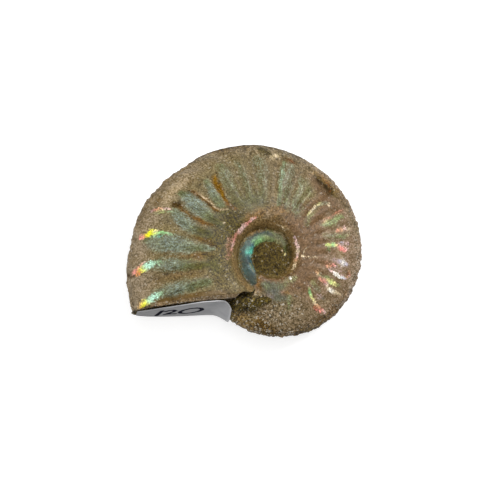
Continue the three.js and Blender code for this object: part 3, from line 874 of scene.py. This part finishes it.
def ribPearl():
    # underneath, bands follow the ribs by the cosine wave that raises them, and turn from pink at the keel
    # through yellow to grey-green inwards; the pink and yellow near the keel are painted iridescent glints
    patch = 0.5 + 0.5 * grain(shell, 5.0, 31)
    near = ramp(ribWave(whorl, share), 0.45, 0.95) * between(share, 0.42, 0.6, 0.93, 0.99)
    colour = tinted(shades["bandBlue"], "bandGreen", ramp(share, 0.6, 0.75))
    colour = tinted(colour, "yellowGreen", ramp(share, 0.8, 0.87) * patch)
    colour = tinted(colour, "pink", ramp(share, 0.88, 0.93) * patch)
    return colour, near * (0.35 + 0.65 * patch)


def pearlShade(texts, ragged, below):
    # colour and strength of the mother-of-pearl; where lines meet, the whole is 1 less what both leave free
    colour, strength = np.tile(shades["bandGrey"], share.shape + (1,)), np.zeros_like(share)
    for near, shade in drawn(texts, ragged):
        strength = strength + near - strength * near
        colour = mix(colour, shade, (near / np.maximum(strength, 1e-4) * (strength > 1e-4))[..., None])
    colour = np.where(onTop[..., None], colour, below[0])
    strength = np.where(onTop, strength, below[1]) * (1 - rock) * (1 - facePart) * (1 - bevelPart)
    return np.concatenate([colour[..., :3], strength[..., None]], -1)


def surfaceKind():
    # how coarse the grain is, how much fine lines show that run across the whorl, how much is rock, and how
    # many pale grains it has
    low = 1 - ramp(whorl, -85, -45)
    edge = ramp(share, 0.82, 0.95)
    disc = np.hypot(shell[..., 0], shell[..., 1]) < 5
    coarse = 1 + 0.55 * low * ramp(share, 0.5, 0.65)
    coarse += 0.25 * edge * (1 - ramp(whorl, 110, 150) - ramp(whorl, 125, 150))
    coarse += 0.5 * ramp(whorl, 120, 135) * ramp(share, 0.5, 0.4) * ramp(share, 0.3, 0.36)
    coarse -= 0.3 * ramp(whorl, 60, 40) * ramp(whorl, -45, -25) * (1 - 0.6 * edge)
    coarse -= 0.4 * between(whorl, -116, -112, -104, -98) * edge
    coarse += np.where(disc, 0.5, 1.1) * rock - 0.6 * np.maximum(breakBand, bevelPart)
    grains = 0.75 * low * ramp(share, 0.42, 0.6) * (0.4 + 0.6 * ramp(whorl, -108, -98))
    grains = 0.12 + grains + 0.3 * edge * ramp(whorl, 60, 30)
    grains = np.where(rock > 0.3, np.where(disc, 0.15, 0.6), grains)
    return np.stack([coarse, 0.35 + 0.65 * edge, np.maximum(rock, facePart), grains], -1)


def coursePlace():
    # along the coil and across the whorl in millimetres; the way across is squeezed to a fifth
    arc = np.radians(whorl) * keel(whorl)
    steps = np.linalg.norm(np.diff(shell, axis=1), axis=-1)
    across = np.concatenate([np.zeros((len(shell), 1)), np.cumsum(steps, 1)], 1)
    return np.stack([arc, 0.2 * across, 0 * arc], -1)


fossil = buildFossil()
for name, values in {
    "ground": groundShade(),
    "pearl": pearlShade(pearls, 0.22, ribPearl()),
    # painted highlights and iridescent reflections, laid in the same way as the mother-of-pearl
    "glint": pearlShade(glints, 0.1, (shades["bandGrey"], 0)),
    "kind": surfaceKind(),
}.items():
    setAttribute(fossil, name, "FLOAT_COLOR", withPoles(values))
setAttribute(fossil, "course", "FLOAT_VECTOR", withPoles(coursePlace()))
print("marked")


def operator(operation, swapped=False):
    # a method that adds a Math node; swapped where the wire stands on the right of a number
    def run(wire, other):
        return wire.join(operation, *((other, wire) if swapped else (wire, other)))
    return run


class Wire:
    # a node's output: sums and products of wires and numbers add the Math nodes they need
    def __init__(self, nodes, socket):
        self.nodes, self.socket = nodes, socket

    def join(self, operation, *others, **settings):
        return self.nodes.add("Math", {"operation": operation, **settings}, dict(enumerate(others)))[0]

    __add__, __radd__ = operator("ADD"), operator("ADD", True)
    __sub__, __rsub__ = operator("SUBTRACT"), operator("SUBTRACT", True)
    __mul__, __rmul__ = operator("MULTIPLY"), operator("MULTIPLY", True)
    __truediv__ = operator("DIVIDE")

    def grown(self):
        # e to the power of this
        return self.join("EXPONENT", self)

    def clamped(self):
        return self.join("ADD", self, 0.0, use_clamp=True)

    def size(self):
        return self.join("ABSOLUTE", self)

    def step(self, start, end):
        # smooth step from 0 at start to 1 at end
        settings = {"interpolation_type": "SMOOTHSTEP"}
        return self.nodes.add("MapRange", settings, {"Value": self, "From Min": start, "From Max": end})[0]


class Nodes:
    # the node tree of one material
    def __init__(self, name):
        self.material = bpy.data.materials.new(name)
        self.material.use_nodes = True
        self.tree = self.material.node_tree
        self.finish = self.tree.nodes["Principled BSDF"]

    def add(self, kind, settings=None, values=None):
        # a node of that type; settings are set first, then sockets by name or number. Gives its outputs.
        node = self.tree.nodes.new("ShaderNode" + kind)
        for key, value in (settings or {}).items():
            setattr(node, key, value)
        for key, value in (values or {}).items():
            self.put(node.inputs[key], value)
        return [Wire(self, out) for out in node.outputs if out.enabled]

    def put(self, socket, value):
        if isinstance(value, Wire):
            self.tree.links.new(value.socket, socket)
        else:
            socket.default_value = value

    def blend(self, factor, a, b, way="MIX"):
        return self.add("Mix", {"data_type": "RGBA", "blend_type": way}, {0: factor, 6: a, 7: b})[0]

    def scaled(self, vector, by):
        return self.add("VectorMath", {"operation": "SCALE"}, {0: vector, "Scale": by})[0]

    def place(self):
        # the piece's own coordinates in millimetres
        return self.scaled(self.add("TexCoord")[3], 1 / mm)

    def noise(self, at, scale, detail, roughness):
        # around 0
        values = {"Vector": at, "Scale": scale, "Detail": detail, "Roughness": roughness}
        return self.add("TexNoise", {}, values)[0] - 0.5

    def ridge(self, at, scale, detail, roughness, start, end):
        # 1 along lines where a noise passes through its middle, 0 away from them
        return 1 - self.noise(at, scale, detail, roughness).size().step(start, end)

    def parts(self, colour):
        return self.add("SeparateColor", {}, {0: colour})

    def attribute(self, name):
        return self.add("Attribute", {"attribute_name": name})

    def surface(self, colour, roughness, height, depth, strength, dull):
        # the glossy finish with a bump, and the same colour without any gloss mixed in by the share dull
        bump = self.add("Bump", {}, {"Strength": strength, "Distance": depth * mm, "Height": height})[0]
        for key, value in {"Base Color": colour, "Roughness": roughness, "Normal": bump}.items():
            self.put(self.finish.inputs[key], value)
        values = {"Base Color": colour, "Normal": bump, "Roughness": 1.0, "Specular IOR Level": 0.0}
        matt = self.add("BsdfPrincipled", {}, values)[0]
        mixed = self.add("MixShader", {}, {0: dull, 1: Wire(self, self.finish.outputs[0]), 2: matt})[0]
        self.put(self.tree.nodes["Material Output"].inputs["Surface"], mixed)
        return self.material


grit = {
    # how strongly a grain darkens and lightens the stone, as a power of e, then its noise: scale a millimetre,
    # detail and roughness
    "fine": (5.2, 2.7, 2.0, 0.6),
    "tiny": (2.6, 4.4, 1.0, 0.5),
    "middle": (1.5, 0.8, 2.0, 0.6),
    "broad": (0.6, 0.22, 2.0, 0.5),
    "across": (3.0, 2.8, 2.0, 0.6),  # runs along the course
    "crystal": (0.9, 3.2),
    # thin lines, with how far from its middle the noise is where they are whole and where they end
    "crack": (-0.6, 0.55, 3.0, 0.65, 0.0, 0.08),
    "strand": (0.5, 0.75, 3.0, 0.65, 0.0, 0.07),
    "vein": (0.35, 1.1, 1.0, 0.5, 0.004, 0.03),
    "darkTint": (1.0, 0.93, 0.66, 1),
    "paleTint": (1.0, 1.02, 1.1, 1),
    "speck": (0.5, 0.46, 0.38, 1),
}


def shellMaterial():
    # stone with crystal grains, crossed by mother-of-pearl and by painted glints and highlights that are broken
    # up by the same grains.
    # Grains of each size darken and lighten it by a power of e, which is drawn in at its bright end.
    n = Nodes("stoneShell")
    at = n.place()
    ground, pearl, glint, kind = (n.attribute(name) for name in ("ground", "pearl", "glint", "kind"))
    coarse, lineShare, rockShare = n.parts(kind[0])
    paleShare = kind[3]
    power = {name: values[0] for name, values in grit.items()}
    fine, tiny, middle, broad = (n.noise(at, *grit[name][1:]) for name in ("fine", "tiny", "middle", "broad"))
    across = n.noise(n.attribute("course")[1], *grit["across"][1:])
    crack, strand, vein = (n.ridge(at, *grit[name][1:]) for name in ("crack", "strand", "vein"))
    crystal = n.add("TexVoronoi", {}, {"Vector": at, "Scale": grit["crystal"][1]})
    first, second, third = n.parts(crystal[1])

    grains = power["fine"] * fine + power["tiny"] * tiny + power["crystal"] * (first - 0.5)
    lines = power["strand"] * strand + power["crack"] * crack + power["across"] * across
    light = (grains + lines * lineShare) * coarse + power["middle"] * middle + power["broad"] * broad
    light = light.grown()
    light = 1.25 * light / (0.75 + 0.5 * light)
    tint = n.blend(light.step(0.55, 1.5), grit["darkTint"], grit["paleTint"])
    stone = n.blend(1.0, n.scaled(ground[0], light), tint, "MULTIPLY")
    specks = (second + 0.16 * paleShare).step(0.94, 1.0) * fine.step(-0.08, 0.06) * (0.3 + 0.6 * paleShare)
    stone = n.blend(specks.clamped(), stone, grit["speck"])

    sheen = 2.0 * fine + 1.4 * tiny + 1.2 * middle + 2.6 * across + 0.4 * (second - 0.5) + power["vein"] * vein
    nacre = n.blend(1.0, n.scaled(pearl[0], (sheen - 0.13).grown()), tint, "MULTIPLY")
    over = (pearl[3] + 0.6 * fine + 0.9 * across + 0.2 * (third - 0.5)).step(0.08, 0.85)
    over = over * pearl[3].step(0.02, 0.25)
    spark = (0.6 * (second - 0.5) + 1.5 * fine + 1.6 * tiny).grown()
    shine = (glint[3] + 1.2 * fine + 0.45 * (third - 0.5)).step(0.2, 0.8) * glint[3].step(0.02, 0.25)
    colour = n.blend(shine, n.blend(over, stone, nacre), n.scaled(glint[0], spark))

    lift = 0.6 * fine + 0.5 * crystal[0] + 0.8 * middle + 0.5 * across * lineShare
    roughness = 0.52 + 0.3 * rockShare - 0.16 * over - 0.1 * shine + 0.2 * fine
    n.finish.inputs["Specular IOR Level"].default_value = 0.4
    return n.surface(colour, roughness, lift, 0.12, 0.5, ground[3] * (1 - over) * (1 - shine))


fossil.data.materials.append(shellMaterial())
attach(fossil, "root")
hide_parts("ammonite")


label = {
    "from": -9.3,  # along the break, from its left end
    "to": 9.85,
    "inner": 0.16,  # of the paper's two faces, out of the break
    "outer": 0.33,
    "edgeHeight": 2.0,
    "edgeRise": 0.351,
    "corner": ((6.2, 0.4), (4.3, 6.1)),  # middle and half sizes of the ellipse that turns its top edge down
    "rimMargin": 1.1,
    "cells": (170, 104),
    # the paper is painted darker towards its left end
    "worn": (0.66, 0.3),  # how bright it is at its left end, and what it gains to the right
    # white paper painted grey as painted shade, and its cut edge pale as a painted highlight
    "white": (0.34, 0.34, 0.36, 1),
    "smudged": (0.42, 0.42, 0.43, 1),
    "cut": (0.75, 0.75, 0.76, 1),
    "ink": (0.002, 0.002, 0.016, 1),
}
bulge = {"from": 7.15, "softness": 1.2, "middle": -1.5, "above": 7.2, "below": 6.0}
pen = {
    "width": (0.37, 0.57),  # from a line's middle: the last of the full ink, and the end of it
    # a plain number, as lines of (along, up)
    "lines": [
        [(-4.1, 1.3), (-4.5, -0.8), (-4.9, -2.9)],
        [(-3.3, 0.4), (-2.7, 1.1), (-1.8, 1.2), (-1.3, 0.5), (-1.7, -0.6), (-3.2, -2.4), (-2.3, -2.3),
         (-1.0, -2.6)],
        [(2.9, 1.7), (1.6, 1.4), (0.4, 0.4), (-0.2, -1.0), (0.1, -2.3), (1.1, -3.0), (2.5, -2.8), (3.8, -1.8),
         (4.4, -0.4), (4.1, 0.9), (3.4, 1.5), (2.4, 1.6)],
    ],
}


def halfThickness(along):
    # of the last whorl behind each place along the break
    x, y = (broken["at"][i] + along * breakFrame[0][i] for i in (0, 1))
    size = keel(np.degrees(np.arctan2(y, x)) + 360)
    return section(np.hypot(x, y) / size) * size


def paperPoints(along, part, out):
    # on the break's plane: from the trimmed lower edge up to the top edge, which turns down at its inner end,
    # and out over the keel of the whorl before
    (cornerX, cornerY), (wide, tall) = label["corner"]
    turned = cornerY + tall * np.sqrt(1 - np.clip((along - cornerX) / wide, 0, 1) ** 2)
    top = np.minimum(label["edgeHeight"] + label["edgeRise"] * (along - label["from"]), turned)
    up = mix(label["rimMargin"] - halfThickness(along), top, part)
    past = along - bulge["from"]
    lift = (past + np.hypot(past, bulge["softness"])) / 2
    away = (up - bulge["middle"]) / np.where(up > bulge["middle"], bulge["above"], bulge["below"])
    out = out + lift * np.clip(1 - away * away, 0, None)
    return np.stack([along, up, out], -1) @ breakFrame + np.array(broken["at"]), up


def inkShare(along, up):
    # 1 on the pen's lines
    near = np.zeros_like(along)
    for line in pen["lines"]:
        for start, end in zip(line, line[1:]):
            away = toSegment(along, up, *start, *end)[1]
            near = np.maximum(near, 1 - ramp(away, *pen["width"]))
    return near


def buildLabel():
    # one sheet with two faces and a thin edge, as a grid that is closed round its section
    columns, rows = label["cells"]
    along, part = np.meshgrid(
        np.linspace(label["from"], label["to"], columns), np.linspace(0, 1, rows), indexing="ij"
    )
    front, up = paperPoints(along, part, label["outer"])
    back, _ = paperPoints(along, part, label["inner"])
    sheet = np.concatenate([front, back[:, ::-1]], 1)
    count = 2 * rows
    k = np.arange(rows - 1)
    start = np.stack([k, k + 1, count - 2 - k, count - 1 - k], -1)
    ends = np.concatenate([start, (start + (columns - 1) * count)[:, ::-1]])
    quads = gridQuads(columns, count, "rows")[:, [0, 3, 2, 1]]
    piece = meshObject("label", toWorld(sheet), quads.tolist() + ends.tolist())
    ink = inkShare(along, up)
    # a painted highlight along the top edge and the right end
    litEdge = np.maximum(1 - ramp(1 - part, 0, 0.03), ramp(along, label["to"] - 0.5, label["to"]))
    worn = label["worn"][0] + label["worn"][1] * ramp(along, -9, 4)
    for name, near, far in (("ink", ink, 0 * ink), ("edge", litEdge, 1 + 0 * ink), ("worn", worn, worn)):
        setAttribute(piece, name, "FLOAT", np.concatenate([near, far], 1))
    return piece


def paperMaterial():
    # matt paper with a faint fibre and dark blue pen, painted grey as painted shade and darker towards its left
    # end, with a painted highlight along its top edge and right end
    n = Nodes("paper")
    at = n.place()
    fibre = n.noise(at, 3.0, 3.0, 0.6)
    smudge = n.noise(at, 0.35, 2.0, 0.5).step(-0.1, 0.2)
    ink, edge, worn = (n.attribute(name)[2] for name in ("ink", "edge", "worn"))
    sheet = n.blend(edge * 0.8, n.blend(smudge, label["smudged"], label["white"]), label["cut"])
    sheet = n.scaled(sheet, (1 + 0.25 * fibre) * worn)
    inked = (ink + fibre * 0.5 * ink).clamped()
    return n.surface(n.blend(inked * 0.97, sheet, label["ink"]), 0.55, fibre, 0.05, 0.25, inked)


sticker = buildLabel()
sticker.data.materials.append(paperMaterial())
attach(sticker, "root")
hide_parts("paper_label")
print("label")


camera = {"target": (1.38, -1.9, 3.0), "distance": 300, "tilt": 7, "side": 220, "frameWidth": 106.4}
sensor = 36
lamps = {
    # azimuth and elevation in degrees, distance and size in metres, power in watts
    "key": (48, 46, 0.7, 0.35, 3.6),
    "top": (120, 78, 0.8, 0.6, 2),
    "left": (186, 32, 0.7, 0.4, 2),
}


def placed(name, data, at, turn):
    thing = bpy.data.objects.new(name, data)
    thing.location = at
    thing.rotation_mode = "QUATERNION"
    thing.rotation_quaternion = turn
    bpy.context.scene.collection.objects.link(thing)
    return thing


def buildCamera():
    # looks down, tilted a little about a level line
    side = math.radians(camera["side"])
    turn = Quaternion((-math.sin(side), math.cos(side), 0), math.radians(camera["tilt"]))
    data = bpy.data.cameras.new("camera")
    data.sensor_width = sensor
    data.lens = sensor * camera["distance"] / camera["frameWidth"]
    data.clip_start = 0.01
    at = (Vector(camera["target"]) + turn @ Vector((0, 0, camera["distance"]))) * mm
    bpy.context.scene.camera = placed("camera", data, at, turn)


def buildLamp(name, azimuth, elevation, distance, size, power):
    data = bpy.data.lights.new(name, "AREA")
    data.shape, data.size, data.energy = "DISK", size, power
    az, el = math.radians(azimuth), math.radians(elevation)
    at = Vector((math.cos(az) * math.cos(el), math.sin(az) * math.cos(el), math.sin(el))) * distance
    placed(name, data, at, at.to_track_quat("Z", "Y"))


def setSockets(node, values):
    for key, value in values.items():
        node.inputs[key].default_value = value


buildCamera()
for name, settings in lamps.items():
    buildLamp(name, *settings)
world = bpy.data.worlds.new("room")
world.use_nodes = True
setSockets(world.node_tree.nodes["Background"], {"Color": (1, 1, 1, 1), "Strength": room["sky"]})
bpy.context.scene.world = world
bpy.context.scene.view_settings.view_transform = "Standard"

bpy.ops.mesh.primitive_plane_add(size=3)
table = bpy.context.object
table.name = "table"
table.visible_diffuse = False
cloth = bpy.data.materials.new("tableTop")
cloth.use_nodes = True
setSockets(cloth.node_tree.nodes["Principled BSDF"], {
    "Base Color": (room["table"], room["table"], room["table"], 1),
    "Emission Color": (1, 1, 1, 1),
    "Emission Strength": room["tableGlow"],
})
table.data.materials.append(cloth)
